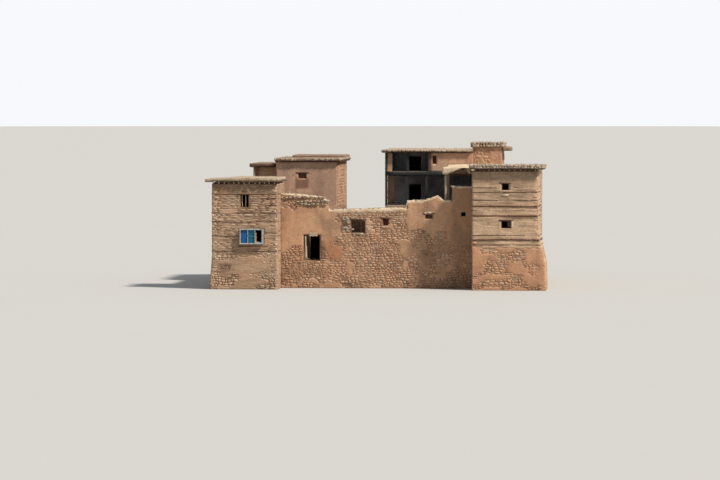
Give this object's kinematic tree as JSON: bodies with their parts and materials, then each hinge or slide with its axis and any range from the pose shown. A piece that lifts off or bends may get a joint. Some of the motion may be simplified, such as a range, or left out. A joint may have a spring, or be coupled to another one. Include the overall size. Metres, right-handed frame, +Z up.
{
  "type": "stone house",
  "caption": "Fortified stone farmhouse: corner towers with earth roofs on poles, a ruined curtain wall with an opening door, and taller galleried blocks around a yard.",
  "frame": {"origin": "on the ground, at the middle of the overall width and depth", "axes": "+X to the right along the front, +Y to the rear, +Z up; the front faces -Y"},
  "size_m": [27.33, 21.28, 11.73],
  "materials": {
    "rubble_masonry": "rough rubble stone in mud mortar",
    "mud_plaster": "coarse mud plaster over rubble",
    "earth_roof": "packed earth and brush",
    "timber": "weathered grey-brown timber",
    "pale_timber": "pale painted timber, worn",
    "blue_paint": "dark blue painted wood",
    "teal_paint": "teal painted lattice wood",
    "red_paint": "dull red painted wood",
    "door_wood": "pale grey-blue painted planks, worn"
  },
  "bodies": {
    "house": {"broken_window_frame": "timber", "curtain_end_wall": "mud_plaster", "curtain_left_wall": "mud_plaster", "curtain_middle_wall": "rubble_masonry", "curtain_over_door": "mud_plaster", "curtain_right_wall": "mud_plaster", "curtain_under_door": "rubble_masonry", "door_head": "timber", "door_jambs": "timber", "door_sill": "timber", "gallery_back_wall": "mud_plaster", "gallery_floor": "earth_roof", "gallery_left_wall": "rubble_masonry", "high_room_roof": "earth_roof", "high_room_walls": "mud_plaster", "left_side_wall": "rubble_masonry", "lt_back_wall": "rubble_masonry", "lt_floors": "earth_roof", "lt_front_wall": "rubble_masonry", "lt_left_wall": "rubble_masonry", "lt_loophole_bars": "timber", "lt_right_wall": "rubble_masonry", "lt_roof_earth": "earth_roof", "lt_roof_poles": "timber", "lt_window_frame": "pale_timber", "lt_window_lattice": "teal_paint", "lt_window_shutter": "blue_paint", "porch_post": "timber", "porch_roof": "earth_roof", "porch_side_wall": "mud_plaster", "range_posts": "timber", "range_roof": "earth_roof", "range_wall": "rubble_masonry", "rear_wall": "rubble_masonry", "red_shutter": "red_paint", "right_side_wall": "rubble_masonry", "rl_front_wall": "mud_plaster", "rl_right_wall": "mud_plaster", "rl_roof": "earth_roof", "rl_room_wall": "mud_plaster", "rl_terrace": "earth_roof", "rr_left_wall": "rubble_masonry", "rt_back_wall": "rubble_masonry", "rt_floors": "earth_roof", "rt_front_wall": "rubble_masonry", "rt_left_wall": "rubble_masonry", "rt_right_wall": "rubble_masonry", "rt_roof_earth": "earth_roof", "rt_roof_poles": "timber", "rt_window_frames": "timber", "upper_back_wall": "mud_plaster", "upper_floor": "earth_roof", "upper_front_wall": "mud_plaster", "upper_left_wall": "mud_plaster", "upper_right_wall": "mud_plaster", "upper_roof": "earth_roof", "veranda_posts": "timber", "veranda_wall": "rubble_masonry"},
    "door": {"door_leaf": "door_wood"}
  },
  "joints": [
    {"name": "front_door_hinge", "type": "hinge", "parent": "house", "child": "door", "pos_m": [-5.91, -7.0795, 2.338], "axis": [0, 0, 1], "range_deg": [-76, 19]}
  ]
}
